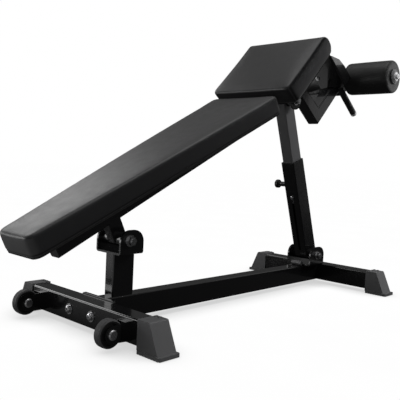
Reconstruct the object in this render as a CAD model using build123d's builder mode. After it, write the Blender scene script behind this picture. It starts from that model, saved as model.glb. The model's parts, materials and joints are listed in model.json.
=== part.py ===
from build123d import *
import os
from math import cos, sin, radians, sqrt, pi

os.makedirs("parts", exist_ok=True)

# Decline sit up bench, in mm. +X runs from the head end to the leg roller end, -Y is the near
# side, +Z is up. It is drawn from the front face of the front cross tube (X = 0), on the centre
# line and the floor. Each finished piece is set back by CENTRE_X, so the origin of the object
# is on the floor under the middle of its length.

# ================================================================ driving dimensions
CENTRE_X = 637.4546             # middle of the length, behind the front face of the front tube

# base frame
TUBE_WALL = 3.0                 # wall of every steel tube
EDGE_R = 5.0                    # rolled corner of the large tubes
EDGE_R_IN = EDGE_R - TUBE_WALL + 0.5    # its inner corner
CROSS_D, CROSS_H = 60.0, 70.0   # cross tube section, along X and Z
FLOOR_GAP = 16.0                # underside of the base tubes above the floor
BASE_MID = FLOOR_GAP + CROSS_H / 2
BASE_TOP = FLOOR_GAP + CROSS_H
REAR_X = 1215.0                 # front face of the rear cross tube
CROSS_HALF = 290.0              # half length of the cross tubes
BEAM_HALF = 25.0                # half width of the main beam
FLANGE_T, FLANGE_HALF = 8.0, 75.0
FLANGE_Z0, FLANGE_Z1 = 14.0, 90.0
BEAM_X0 = CROSS_D + FLANGE_T    # front end of the main beam

# bolts
FRAME_BOLT_Y, FRAME_BOLT_Z, FRAME_BOLT_R = 53.0, 51.0, 6.0
FRAME_BOLTS = [(-FRAME_BOLT_Y, FRAME_BOLT_Z), (FRAME_BOLT_Y, FRAME_BOLT_Z)]     # Y, Z
FRAME_HOLE_R = FRAME_BOLT_R + 0.5
PIVOT_BOLT_R = 8.0
PIVOT_WASHER_T, PIVOT_WASHER_R = 3.0, 17.5
PIVOT_HEX_R = 13.8              # corner radius of the pivot bolt heads and nuts
PIVOT_NUT_T = 13.0
WASHER_FIT = 0.3                # radial clearance of a washer on its bolt
THREAD_FIT = 0.03               # radial clearance of a nut or bush on its bolt
PIVOT_FIT = 0.05                # running clearance on the two working pivots
TOP_PIN_CLEAR = 2.6             # radial clearance at the post head pin

# hinges, as X, Z in the side view
FRONT_PIVOT = (126.5, 257.0)    # bench hinge
SEAT_DATUM = (136.0, 255.0)     # point the long pad and its tube are drawn from
FOOT_PIVOT = (1154.0, 130.0)    # post hinge on the base
TOP_PIVOT = (930.0, 752.0)      # pin at the post head
EAR_T = 6.0                     # thickness of the bent bracket plates
EAR_ROUND_R = 36.0              # rounding of the upper corners of the upright ears
CLEVIS_HALF = 57.0              # half width over the ears of the bench hinge
EARS_HALF = 57.0                # half width over the ears of the two post brackets
BARREL_R = 21.0
FOOT_BARREL_R = 23.0

# seat frame and pads. Along the long pad u, above its datum v; short pad e and n, roller arm
# d and m, both from the post head pin
SEAT_ANGLE = 26.5               # long pad above the floor
THIGH_ANGLE = 45.5              # short pad above the floor
ARM_ANGLE = -36.0               # direction the roller arm frame is laid out along
SEAT_TUBE_HALF = 20.0
SEAT_TUBE_U0 = -212.0           # low end of the seat tube
SEAT_V0, SEAT_V1 = 66.0, 124.0  # underside and top of the seat tube
BOARD_T = 14.0
SEAT_PAD_V = 190.0              # top of the long pad
SEAT_PAD_U0, SEAT_PAD_U1 = -309.0, 716.0
SEAT_PAD_LOW, SEAT_PAD_HIGH = 82.0, 153.0   # half widths at the two ends
SEAT_PAD_BOW = 7.0              # how far its long sides bow outwards
SEAT_PAD_SPANS = 6              # spans of the spline along each long side
THIGH_N0, THIGH_N1 = 43.3, 93.3     # underside and top of the thigh tube
THIGH_TUBE_E1 = 143.0           # upper end of the thigh tube
THIGH_TOP = 172.3               # top of the short pad
THIGH_E0, THIGH_E1 = -155.0, 182.0  # low end along the top face, and the tip of the nose
THIGH_SLANT = 18.0              # slant of the low end over the cushion thickness
THIGH_BOARD_E0, THIGH_BOARD_E1 = -118.0, 160.0
THIGH_HALF = 180.0

# roller arm, bracket and rollers
ARM_M0, ARM_M1 = 73.0, 123.0    # the two faces of the arm leg
ARM_N0, ARM_N1 = -207.7, -157.7     # the two faces of the arm foot, in the short pad frame
ARM_HALF = 25.0
STEM_N0, STEM_N1 = -155.7, -112.7
BRACKET_M0, BRACKET_M1 = 291.0, 346.0   # back of the bracket web and outer edge of its ears
BRACKET_D0, BRACKET_D1 = 52.0, 235.0
BRACKET_HALF = 66.0
SHELF_ANGLE = 13.7              # slope of the bracket's lower flange, where the arm tubes end
SHELF_UNDER = (1153.0, 810.5)   # X, Z of a point on its underside
SHELF_T = 5.0
ROLLER_D, ROLLER_M = 292.0, 394.0   # roller axis in the arm frame
ROLLER_R, ROLLER_IN, ROLLER_OUT = 69.5, 22.0, 226.0
CORE_R = 17.0
LUG_HALF = 16.0                 # half width of the lug that carries the axle between the rollers
AXLE_R = 12.5

# telescoping post: s along it from the foot hinge, w out of its front face
POST_Y, POST_D = 30.0, 36.0     # outer tube, half width across and half depth
INNER_Y, INNER_D = 24.0, 31.0   # inner tube
POST_HEAD_S0, POST_HEAD_S1 = 285.0, 413.0
INNER_S0 = 240.0
SLOT_S0, SLOT_S1, SLOT_W = 31.0, 276.0, 10.0
STOP_S = 268.0
PIN_S, PIN_W = 310.0, -4.0

WHEEL_X, WHEEL_Z, WHEEL_R, WHEEL_Y, WHEEL_HALF = -56.0, 49.0, 38.5, 203.0, 13.0


# ================================================================ side view frames
class Frame:
    """Side view frame: an X, Z origin, a direction u, and v a quarter turn on from it."""

    def __init__(self, origin, u_dir):
        self.origin = origin
        self.u_dir = u_dir
        self.v_dir = (-u_dir[1], u_dir[0])

    def at(self, u, v):
        """X, Z of a point of the frame."""
        return (self.origin[0] + u * self.u_dir[0] + v * self.v_dir[0],
                self.origin[1] + u * self.u_dir[1] + v * self.v_dir[1])

    def local(self, x, z):
        """u, v of a point given by X and Z."""
        dx, dz = x - self.origin[0], z - self.origin[1]
        return (dx * self.u_dir[0] + dz * self.u_dir[1],
                dx * self.v_dir[0] + dz * self.v_dir[1])

    def u_of(self, point):
        return self.local(point.X, point.Z)[0]

    def v_of(self, point):
        return self.local(point.X, point.Z)[1]

    def facing_v(self, u, v):
        """Sketch plane along u and Y, facing v."""
        x, z = self.at(u, v)
        return Plane(origin=(x, 0, z), x_dir=(self.u_dir[0], 0, self.u_dir[1]),
                     z_dir=(self.v_dir[0], 0, self.v_dir[1]))

    def facing_u(self, u, v):
        """Sketch plane along v and Y, facing u."""
        x, z = self.at(u, v)
        return Plane(origin=(x, 0, z), x_dir=(self.v_dir[0], 0, self.v_dir[1]),
                     z_dir=(self.u_dir[0], 0, self.u_dir[1]))


def heading(angle):
    return (cos(radians(angle)), sin(radians(angle)))


TOP_DIST = sqrt((TOP_PIVOT[0] - FOOT_PIVOT[0]) ** 2 + (TOP_PIVOT[1] - FOOT_PIVOT[1]) ** 2)
SEAT = Frame(SEAT_DATUM, heading(SEAT_ANGLE))
THIGH = Frame(TOP_PIVOT, heading(THIGH_ANGLE))
ARM = Frame(TOP_PIVOT, heading(ARM_ANGLE))
SHELF = Frame(SHELF_UNDER, heading(SHELF_ANGLE))
POST = Frame(FOOT_PIVOT, ((TOP_PIVOT[0] - FOOT_PIVOT[0]) / TOP_DIST,
                          (TOP_PIVOT[1] - FOOT_PIVOT[1]) / TOP_DIST))


def cross(frame_a, v_a, frame_b, v_b):
    """X, Z where the line v = v_a of one frame meets the line v = v_b of another."""
    start_a, start_b = frame_a.at(0, v_a), frame_b.at(0, v_b)
    (ax, az), (bx, bz) = frame_a.u_dir, frame_b.u_dir
    t = ((start_b[0] - start_a[0]) * bz - (start_b[1] - start_a[1]) * bx) / (ax * bz - az * bx)
    return (start_a[0] + t * ax, start_a[1] + t * az)


# ================================================================ shared helpers
def side(y):
    """Upright plane at y: its own x is X, its own y is Z, and it faces -Y."""
    return Plane(origin=(0, y, 0), x_dir=(1, 0, 0), z_dir=(0, -1, 0))


def profile(points):
    """Closed polygon in the sketch under way."""
    Polygon(*points, align=None)


def tube_section(width, height, corner=EDGE_R, inner_corner=EDGE_R_IN):
    """Rectangular tube section in the sketch under way."""
    RectangleRounded(width, height, corner)
    RectangleRounded(width - 2 * TUBE_WALL, height - 2 * TUBE_WALL, inner_corner,
                     mode=Mode.SUBTRACT)


def rounds(plane, places, length, radius, bore=0.0, sides=0, mode=Mode.ADD):
    """Discs, or prisms with the given number of sides, at places on a plane."""
    with BuildSketch(plane) as sketch:
        with Locations(*places):
            if sides:
                RegularPolygon(radius, sides)
            else:
                Circle(radius)
            if bore:
                Circle(bore, mode=Mode.SUBTRACT)
    extrude(sketch.sketch, amount=length, mode=mode)


def across(place, y0, y1, radius, **options):
    """Round along Y at an X, Z place, from y0 up to y1."""
    rounds(side(y1), [place], y1 - y0, radius, **options)


def across_pair(place, y0, y1, radius, **options):
    """The same round on both sides of the centre line."""
    across(place, y0, y1, radius, **options)
    across(place, -y1, -y0, radius, **options)


def cut_barrel(place, radius):
    """Clear the room of a hinge barrel out of a tube end."""
    across(place, -60, 60, radius, mode=Mode.SUBTRACT)


def y_of(point):
    return point.Y


def rims(radius, measure, *values):
    """Circular edges of a radius, at any of the values of a measure such as y_of."""
    return [e for e in edges().filter_by(GeomType.CIRCLE)
            if abs(e.radius - radius) < 0.1
            and any(abs(measure(e.center()) - value) < 0.1 for value in values)]


def direction(edge):
    return (edge @ 1 - edge @ 0).normalized()


def save(builder, label):
    placed = builder.part.moved(Location((-CENTRE_X, 0, 0)))
    placed.label = label
    export_step(placed, "parts/" + label + ".step")


# ================================================================ base frame
def cross_tube(label, front_x, drilled):
    """Tube across the bench, drilled along X for the frame bolts if asked."""
    with BuildPart() as tube:
        with BuildSketch(side(CROSS_HALF)):
            with Locations((front_x + CROSS_D / 2, BASE_MID)):
                tube_section(CROSS_D, CROSS_H)
        extrude(amount=2 * CROSS_HALF)
        if drilled:
            rounds(Plane.YZ, FRAME_BOLTS, CROSS_D, FRAME_HOLE_R, mode=Mode.SUBTRACT)
    save(tube, label)


cross_tube("front_cross_tube", 0, drilled=True)
cross_tube("rear_cross_tube", REAR_X, drilled=False)

# foot caps: distances from the centre line
FOOT_IN, FOOT_TOP, FOOT_BOT, FOOT_SOLE = 254.0, 299.0, 335.0, 345.0
FOOT_WALL = 3.0             # cap over the tube, in front, behind and on top
FOOT_BODY_Z = 8.0           # underside of the tapered block
SOLE_H, SOLE_LIP = 10.0, 7.0
RIDGES = (9.0, 24.0)        # ridges on the top, from the inner end of the cap
GROOVES, GROOVE_PITCH, GROOVE_W, GROOVE_DEPTH = 8, 10.5, 3.0, 1.6


def foot_cap(label, tube_x, sign):
    """Foot cap over one tube end: tapered block, flared sole, grooved tread, tube socket."""
    mid_x = tube_x + CROSS_D / 2
    top = BASE_TOP + FOOT_WALL
    with BuildPart() as cap:
        with BuildSketch(Plane(origin=(tube_x - FOOT_WALL, 0, 0), x_dir=(0, sign, 0),
                               z_dir=(sign, 0, 0))):
            profile([(FOOT_IN, FOOT_BODY_Z), (FOOT_BOT, FOOT_BODY_Z),
                     (FOOT_TOP, top), (FOOT_IN, top)])
        extrude(amount=sign * (CROSS_D + 2 * FOOT_WALL))
        fillet([e for e in edges()
                if e.length > 50 and abs(direction(e).X) > 0.99
                and e.center().Z > 50 and abs(e.center().Y) > FOOT_IN + 5], 6)
        with BuildSketch(Plane.XY):
            with Locations((mid_x, sign * (FOOT_IN + 2 + FOOT_SOLE) / 2)):
                RectangleRounded(CROSS_D + 2 * SOLE_LIP, FOOT_SOLE - FOOT_IN - 2, 6)
        extrude(amount=SOLE_H)
        with BuildSketch(Plane.XY.offset(top)):
            with Locations(*[(tube_x + CROSS_D - 8, sign * (FOOT_IN + y)) for y in RIDGES]):
                RectangleRounded(12, 6, 2)
        extrude(amount=2.5)
        # socket for the tube end
        with BuildSketch(side(CROSS_HALF if sign > 0 else -FOOT_IN + 1)):
            with Locations((mid_x, BASE_MID)):
                RectangleRounded(CROSS_D, CROSS_H, EDGE_R)
        extrude(amount=CROSS_HALF - FOOT_IN + 1, mode=Mode.SUBTRACT)
        with BuildSketch(Plane.XY):
            with Locations(*[(mid_x, sign * (FOOT_IN + 14 + GROOVE_PITCH * k))
                             for k in range(GROOVES)]):
                Rectangle(CROSS_D + 20, GROOVE_W)
        extrude(amount=GROOVE_DEPTH, mode=Mode.SUBTRACT)
    save(cap, label)


foot_cap("foot_front_near", 0, -1)
foot_cap("foot_front_far", 0, 1)
foot_cap("foot_rear_near", REAR_X, -1)
foot_cap("foot_rear_far", REAR_X, 1)

# main beam between the front flange and the rear cross tube
with BuildPart() as main_beam:
    with BuildSketch(Plane.YZ.offset(BEAM_X0)):
        with Locations((0, BASE_MID)):
            tube_section(2 * BEAM_HALF, CROSS_H)
    extrude(amount=REAR_X - BEAM_X0)
save(main_beam, "main_beam")

# flange plate on the front end of the main beam
with BuildPart() as front_flange:
    with BuildSketch(Plane.YZ.offset(CROSS_D)):
        with Locations((0, (FLANGE_Z0 + FLANGE_Z1) / 2)):
            RectangleRounded(2 * FLANGE_HALF, FLANGE_Z1 - FLANGE_Z0, 8)
        with Locations(*FRAME_BOLTS):
            Circle(FRAME_HOLE_R, mode=Mode.SUBTRACT)
    extrude(amount=FLANGE_T)
save(front_flange, "front_flange")

# frame bolts: domed heads with a hexagon socket, in front of the front cross tube
FRAME_WASHER_T = 2.5
FRAME_HEAD_T = 8.0
FRAME_HEAD_X = -FRAME_WASHER_T - FRAME_HEAD_T
with BuildPart() as frame_bolts:
    rounds(Plane.YZ.offset(-FRAME_WASHER_T), FRAME_BOLTS, FRAME_WASHER_T + BEAM_X0 + 16,
           FRAME_BOLT_R)
    rounds(Plane.YZ.offset(FRAME_HEAD_X), FRAME_BOLTS, FRAME_HEAD_T, 11)
    fillet(edges().filter_by(GeomType.CIRCLE).group_by(Axis.X)[0], 5.5)
    rounds(Plane.YZ.offset(FRAME_HEAD_X), FRAME_BOLTS, 4, 3.6, sides=6, mode=Mode.SUBTRACT)
save(frame_bolts, "frame_bolts")

with BuildPart() as frame_washers:
    for washer_x in (-FRAME_WASHER_T, BEAM_X0):
        rounds(Plane.YZ.offset(washer_x), FRAME_BOLTS, FRAME_WASHER_T, 15.5,
               bore=FRAME_BOLT_R + WASHER_FIT)
save(frame_washers, "frame_washers")

with BuildPart() as frame_nuts:
    rounds(Plane.YZ.offset(BEAM_X0 + FRAME_WASHER_T), FRAME_BOLTS, 10, 11,
           bore=FRAME_BOLT_R + THREAD_FIT, sides=6)
save(frame_nuts, "frame_nuts")

# front post: upright tube on the main beam
FRONT_POST_X0, FRONT_POST_X1 = 99.0, 179.0
CLEVIS_X0, CLEVIS_X1 = 92.0, 180.0
CLEVIS_Z, CLEVIS_TOP = 215.0, 288.0
with BuildPart() as front_post:
    with BuildSketch(Plane.XY.offset(BASE_TOP)):
        with Locations(((FRONT_POST_X0 + FRONT_POST_X1) / 2, 0)):
            tube_section(FRONT_POST_X1 - FRONT_POST_X0, 2 * SEAT_TUBE_HALF)
    extrude(amount=CLEVIS_Z - BASE_TOP)
save(front_post, "front_post")


def u_bracket(label, pivot, half, x0, x1, z0, z1, bend_r):
    """Bent U plate with its ears up, their tops rounded, drilled for a pivot bolt."""
    inner = half - EAR_T
    with BuildPart() as bracket:
        with BuildSketch(Plane.YZ.offset(x0)):
            with BuildLine():
                Polyline((-half, z0), (half, z0), (half, z1), (inner, z1), (inner, z0 + EAR_T),
                         (-inner, z0 + EAR_T), (-inner, z1), (-half, z1), close=True)
            make_face()
        extrude(amount=x1 - x0)
        fillet([e for e in edges()
                if e.length > 80 and abs(direction(e).X) > 0.99 and e.center().Z < z0 + 1],
               bend_r)
        fillet([e for e in edges()
                if abs(direction(e).Y) > 0.99 and e.center().Z > z1 - 1 and e.length < 7],
               EAR_ROUND_R)
        across(pivot, -half - 1, half + 1, PIVOT_BOLT_R, mode=Mode.SUBTRACT)
    save(bracket, label)


# clevis of the bench hinge on the front post, and foot bracket of the post on the main beam
u_bracket("front_clevis", FRONT_PIVOT, CLEVIS_HALF, CLEVIS_X0, CLEVIS_X1,
          CLEVIS_Z, CLEVIS_TOP, bend_r=9)
u_bracket("post_foot_bracket", FOOT_PIVOT, EARS_HALF, FOOT_PIVOT[0] - 51, FOOT_PIVOT[0] + 53,
          BASE_TOP, FOOT_PIVOT[1] + 34, bend_r=8)

# round bar across the beam in front of the foot bracket, the rest for the lowered post
STOP_BAR_R = 10.0
with BuildPart() as post_stop_bar:
    across((FOOT_PIVOT[0] - 62, BASE_TOP + STOP_BAR_R), 1 - BEAM_HALF, BEAM_HALF - 1, STOP_BAR_R)
    chamfer(edges().filter_by(GeomType.CIRCLE), 1.2)
save(post_stop_bar, "post_stop_bar")


def pivot_bolt(pivot, half):
    """Pivot bolt along Y: hexagon head outside the far washer, thread past the near one."""
    head_y = half + PIVOT_WASHER_T
    across(pivot, -head_y - 16, head_y, PIVOT_BOLT_R)
    across(pivot, head_y, head_y + 10, PIVOT_HEX_R, sides=6)


def pivot_nut(pivot, half):
    """Hexagon nut outside the near washer."""
    nut_y = -half - PIVOT_WASHER_T
    across(pivot, nut_y - PIVOT_NUT_T, nut_y, PIVOT_HEX_R, bore=PIVOT_BOLT_R + THREAD_FIT,
           sides=6)


def barrel(label, pivot, half, radius, clearance):
    """Hinge barrel along Y, bored for the pivot bolt."""
    with BuildPart() as piece:
        across(pivot, -half, half, radius, bore=PIVOT_BOLT_R + clearance)
    save(piece, label)


# hardware of the bench hinge and of the post foot
BASE_PIVOTS = ((FRONT_PIVOT, CLEVIS_HALF), (FOOT_PIVOT, EARS_HALF))
with BuildPart() as pivot_bolts:
    for pivot, half in BASE_PIVOTS:
        pivot_bolt(pivot, half)
save(pivot_bolts, "pivot_bolts")

with BuildPart() as pivot_washers:
    for pivot, half in BASE_PIVOTS:
        across_pair(pivot, half, half + PIVOT_WASHER_T, PIVOT_WASHER_R,
                    bore=PIVOT_BOLT_R + WASHER_FIT)
save(pivot_washers, "pivot_washers")

with BuildPart() as pivot_nuts:
    for pivot, half in BASE_PIVOTS:
        pivot_nut(pivot, half)
save(pivot_nuts, "pivot_nuts")

# ================================================================ transport wheels
WHEEL_AXIS = (WHEEL_X, WHEEL_Z)
WHEEL_SIDES = (WHEEL_Y, -WHEEL_Y)
WHEEL_BOLT_R = 5.0
FORK_IN, FORK_OUT = WHEEL_HALF + 1.2, WHEEL_HALF + 5.2
FORK_ROOT = 26.5            # half height of the cheeks at the cross tube
FORK_TIP_R = 23.0
FORK_BOX_D, FORK_BOX_H = 14.0, 50.0
with BuildPart() as wheel_forks:
    for wheel_y in WHEEL_SIDES:
        # two rounded cheeks
        for cheek_y in (wheel_y + FORK_OUT, wheel_y - FORK_IN):
            root_top, root_low = (0, WHEEL_Z + FORK_ROOT), (0, WHEEL_Z - FORK_ROOT)
            tip_top, tip_low = (WHEEL_X, WHEEL_Z + FORK_TIP_R), (WHEEL_X, WHEEL_Z - FORK_TIP_R)
            with BuildSketch(side(cheek_y)):
                with BuildLine():
                    Line(root_top, tip_top)
                    ThreePointArc(tip_top, (WHEEL_X - FORK_TIP_R, WHEEL_Z), tip_low)
                    Line(tip_low, root_low)
                    Line(root_low, root_top)
                make_face()
                with Locations(WHEEL_AXIS):
                    Circle(WHEEL_BOLT_R, mode=Mode.SUBTRACT)
            extrude(amount=FORK_OUT - FORK_IN)
        # boxed root against the cross tube
        with BuildSketch(side(wheel_y + FORK_IN)):
            with Locations((-FORK_BOX_D / 2, WHEEL_Z)):
                Rectangle(FORK_BOX_D, FORK_BOX_H)
        extrude(amount=2 * FORK_IN)
save(wheel_forks, "wheel_forks")

# wheel section: distance along the axle from the wheel's middle, radius
WHEEL_SECTION = [
    (-WHEEL_HALF - 0.9, WHEEL_BOLT_R + 0.05), (-WHEEL_HALF - 0.9, 15), (-WHEEL_HALF + 3, 17),
    (-WHEEL_HALF + 3, 27), (-WHEEL_HALF, 29), (-WHEEL_HALF, WHEEL_R - 4),
    (-WHEEL_HALF + 3.5, WHEEL_R - 0.6), (0, WHEEL_R), (WHEEL_HALF - 3.5, WHEEL_R - 0.6),
    (WHEEL_HALF, WHEEL_R - 4), (WHEEL_HALF, 29), (WHEEL_HALF - 3, 27),
    (WHEEL_HALF - 3, 17), (WHEEL_HALF + 0.9, 15), (WHEEL_HALF + 0.9, WHEEL_BOLT_R + 0.05),
]


def wheel_body(wheel_y):
    """Wheel turned about Y: crowned tread, dished side faces, raised hub and a bore."""
    centre = (WHEEL_X, wheel_y, WHEEL_Z)
    with BuildSketch(Plane(origin=centre, x_dir=(0, 1, 0), z_dir=(1, 0, 0))) as section:
        profile(WHEEL_SECTION)
    revolve(section.sketch, axis=Axis(centre, (0, 1, 0)))


for label, wheel_y in (("wheel_near", -WHEEL_Y), ("wheel_far", WHEEL_Y)):
    with BuildPart() as wheel:
        wheel_body(wheel_y)
    save(wheel, label)

# wheel axle bolts with wide domed heads on the near side of each fork
WHEEL_HEAD_R, WHEEL_HEAD_T = 14.0, 7.0
with BuildPart() as wheel_bolts:
    for wheel_y in WHEEL_SIDES:
        fork_y = wheel_y - FORK_OUT
        across(WHEEL_AXIS, fork_y, wheel_y + FORK_OUT + 8, WHEEL_BOLT_R)
        across(WHEEL_AXIS, fork_y - WHEEL_HEAD_T, fork_y, WHEEL_HEAD_R)
    fillet(rims(WHEEL_HEAD_R, y_of, *[y - FORK_OUT - WHEEL_HEAD_T for y in WHEEL_SIDES]), 5)
save(wheel_bolts, "wheel_bolts")

# closed round nuts on the far side of each fork
WHEEL_NUT_R, WHEEL_NUT_T = 12.0, 9.0
with BuildPart() as wheel_nuts:
    for wheel_y in WHEEL_SIDES:
        fork_y = wheel_y + FORK_OUT
        across(WHEEL_AXIS, fork_y, fork_y + WHEEL_NUT_T, WHEEL_NUT_R)
        across(WHEEL_AXIS, fork_y, fork_y + 8.04, WHEEL_BOLT_R + THREAD_FIT, mode=Mode.SUBTRACT)
    fillet(rims(WHEEL_NUT_R, y_of, *[y + FORK_OUT + WHEEL_NUT_T for y in WHEEL_SIDES]), 0.8)
save(wheel_nuts, "wheel_nuts")

# ================================================================ telescoping post, outer part
barrel("post_foot_barrel", FOOT_PIVOT, EARS_HALF - EAR_T - 0.5, FOOT_BARREL_R, PIVOT_FIT)


def post_tube(s0, s1, half_d, half_y, corner):
    """Rectangular tube along the post between two distances from the foot hinge."""
    with BuildSketch(POST.facing_u(s0, 0)) as section:
        tube_section(2 * half_d, 2 * half_y, corner, max(corner - TUBE_WALL, 0.6))
    extrude(section.sketch, amount=s1 - s0)


# lower tube: stands on the foot barrel and carries the travel slot in its front face
POST_CORNER = 4.0
with BuildPart() as post_lower_tube:
    post_tube(4, POST_HEAD_S0, POST_D, POST_Y, POST_CORNER)
    cut_barrel(FOOT_PIVOT, FOOT_BARREL_R)
    with BuildSketch(POST.facing_v(0, POST_D - 6)):
        with Locations(((SLOT_S0 + SLOT_S1) / 2, 0)):
            SlotOverall(SLOT_S1 - SLOT_S0, SLOT_W)
    extrude(amount=10, mode=Mode.SUBTRACT)
save(post_lower_tube, "post_lower_tube")

# head tube: sits on the lower tube, its lower outer edges chamfered, and takes the pull pin
PIN_PLACE = POST.at(PIN_S, PIN_W)
with BuildPart() as post_head_tube:
    post_tube(POST_HEAD_S0, POST_HEAD_S1, POST_D, POST_Y, POST_CORNER)
    chamfer([e for e in edges()
             if e.length > 30 and abs(POST.u_of(e.center()) - POST_HEAD_S0) < 0.5
             and (abs(e.center().Y) > POST_Y - 0.5
                  or abs(POST.v_of(e.center())) > POST_D - 0.5)], 0.8)
    across(PIN_PLACE, 5, POST_Y + 5, 5.2, mode=Mode.SUBTRACT)
save(post_head_tube, "post_head_tube")

# plastic guide sleeve lining the mouth of the head tube, with a rim on its end
GUIDE_D, GUIDE_Y = INNER_D + 0.06, INNER_Y + 0.06
GUIDE_L, GUIDE_RIM = 60.0, 4.0
with BuildPart() as post_guide_sleeve:
    with BuildSketch(POST.facing_u(POST_HEAD_S1 - GUIDE_L, 0)):
        RectangleRounded(2 * (POST_D - TUBE_WALL), 2 * (POST_Y - TUBE_WALL), 1.0)
        RectangleRounded(2 * GUIDE_D, 2 * GUIDE_Y, 2.5, mode=Mode.SUBTRACT)
    extrude(amount=GUIDE_L)
    with BuildSketch(POST.facing_u(POST_HEAD_S1, 0)):
        RectangleRounded(2 * POST_D, 2 * POST_Y, POST_CORNER)
        RectangleRounded(2 * GUIDE_D, 2 * GUIDE_Y, 2.5, mode=Mode.SUBTRACT)
    extrude(amount=GUIDE_RIM)
save(post_guide_sleeve, "post_guide_sleeve")

# pull pin: hexagonal collar on the far face of the head tube, plunger and knob
PIN_R = 5.0
PIN_COLLAR_Y1, PIN_KNOB_Y0, PIN_KNOB_Y1 = 72.0, 83.0, 100.0
PIN_END_Y = PIN_KNOB_Y0 + 9     # far end of the plunger, inside the knob
with BuildPart() as pin_collar:
    across(PIN_PLACE, POST_Y, PIN_COLLAR_Y1, 11.5, bore=PIN_R + 0.05, sides=6)
save(pin_collar, "pin_collar")

with BuildPart() as pin_plunger:
    across(PIN_PLACE, INNER_Y + 2.2, PIN_END_Y, PIN_R)
save(pin_plunger, "pin_plunger")

with BuildPart() as pin_knob:
    across(PIN_PLACE, PIN_KNOB_Y0, PIN_KNOB_Y1, 17.5)
    fillet(edges().filter_by(GeomType.CIRCLE), 5)
    across(PIN_PLACE, PIN_KNOB_Y0 - 1, PIN_END_Y, PIN_R, mode=Mode.SUBTRACT)
save(pin_knob, "pin_knob")

# ================================================================ telescoping post, inner part
STOP_BOLT_R = 4.0
with BuildPart() as post_inner_tube:
    post_tube(INNER_S0, TOP_DIST - 4, INNER_D, INNER_Y, 3.0)
    cut_barrel(TOP_PIVOT, BARREL_R)
    rounds(POST.facing_v(STOP_S, 0), [(0, 0)], 40, STOP_BOLT_R, mode=Mode.SUBTRACT)
save(post_inner_tube, "post_inner_tube")

barrel("post_top_barrel", TOP_PIVOT, EARS_HALF - EAR_T - 2.0, BARREL_R, TOP_PIN_CLEAR)

# stop bolt screwed into the inner tube, running in the slot
STOP_SHANK_W0, STOP_SHANK_W1 = INNER_D - 7, POST_D + 1
STOP_HEAD_W, STOP_HEAD_T, STOP_HEAD_R = POST_D + 0.6, 5.0, 7.5
with BuildPart() as post_stop_bolt:
    rounds(POST.facing_v(STOP_S, STOP_SHANK_W0), [(0, 0)], STOP_SHANK_W1 - STOP_SHANK_W0,
           STOP_BOLT_R)
    rounds(POST.facing_v(STOP_S, STOP_HEAD_W), [(0, 0)], STOP_HEAD_T, STOP_HEAD_R)
    fillet(rims(STOP_HEAD_R, POST.v_of, STOP_HEAD_W + STOP_HEAD_T), 3)
save(post_stop_bolt, "post_stop_bolt")

# ================================================================ seat frame
barrel("front_pivot_barrel", FRONT_PIVOT, CLEVIS_HALF - EAR_T - 0.5, BARREL_R, PIVOT_FIT)

# lug: short tube from the hinge barrel square up to the seat tube
LUG_U, LUG_V = SEAT.local(*FRONT_PIVOT)
with BuildPart() as seat_lug:
    with BuildSketch(SEAT.facing_v(LUG_U, LUG_V)):
        tube_section(50, 32, 4, 2)
    extrude(amount=SEAT_V0 - LUG_V)
    cut_barrel(FRONT_PIVOT, BARREL_R)
save(seat_lug, "seat_lug")


def long_edges(part, least):
    """Straight edges longer than least that lie in the side view."""
    return [e for e in part.edges()
            if e.geom_type == GeomType.LINE and e.length > least and abs(direction(e).Y) < 0.01]


def outlined_tube(label, outline, half, select, least, corner):
    """Tube from a side view outline, which takes an inset; its selected edges are rounded."""
    with BuildPart() as tube:
        with BuildSketch(side(half)):
            profile(outline(0))
        extrude(amount=2 * half)
        fillet(select(tube.part, least), corner)
        with BuildSketch(side(half - TUBE_WALL)):
            profile(outline(TUBE_WALL))
        extrude(amount=2 * (half - TUBE_WALL), mode=Mode.SUBTRACT)
    save(tube, label)


def mitre(inset):
    """Low and top points where the seat tube turns up into the thigh tube."""
    return (cross(SEAT, SEAT_V0 + inset, THIGH, THIGH_N0 + inset),
            cross(SEAT, SEAT_V1 - inset, THIGH, THIGH_N1 - inset))


def seat_tube_outline(inset):
    """Tube under the long pad, open at its low end and mitred at the other."""
    low, top = mitre(inset)
    return [SEAT.at(SEAT_TUBE_U0, SEAT_V0 + inset), low, top,
            SEAT.at(SEAT_TUBE_U0, SEAT_V1 - inset)]


def thigh_tube_outline(inset):
    """Tube under the short pad, mitred at its low end and closed at the upper one."""
    low, top = mitre(inset)
    end = THIGH_TUBE_E1 - inset
    return [low, THIGH.at(end, THIGH_N0 + inset), THIGH.at(end, THIGH_N1 - inset), top]


outlined_tube("seat_tube", seat_tube_outline, SEAT_TUBE_HALF, long_edges, 300, EDGE_R)
outlined_tube("thigh_tube", thigh_tube_outline, SEAT_TUBE_HALF, long_edges, 200, EDGE_R)

# plastic plug in the low end of the seat tube
PLUG_V = (SEAT_V0 + SEAT_V1) / 2
PLUG_HEAD, PLUG_L = 4.0, 20.0
PLUG_INSET = 2 * TUBE_WALL + 0.2
with BuildPart() as seat_tube_plug:
    with BuildSketch(SEAT.facing_u(SEAT_TUBE_U0 - PLUG_HEAD, PLUG_V)):
        RectangleRounded(SEAT_V1 - SEAT_V0, 2 * SEAT_TUBE_HALF, EDGE_R)
    extrude(amount=PLUG_HEAD)
    with BuildSketch(SEAT.facing_u(SEAT_TUBE_U0, PLUG_V)):
        RectangleRounded(SEAT_V1 - SEAT_V0 - PLUG_INSET, 2 * SEAT_TUBE_HALF - PLUG_INSET, 1.5)
    extrude(amount=PLUG_L)
save(seat_tube_plug, "seat_tube_plug")

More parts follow.
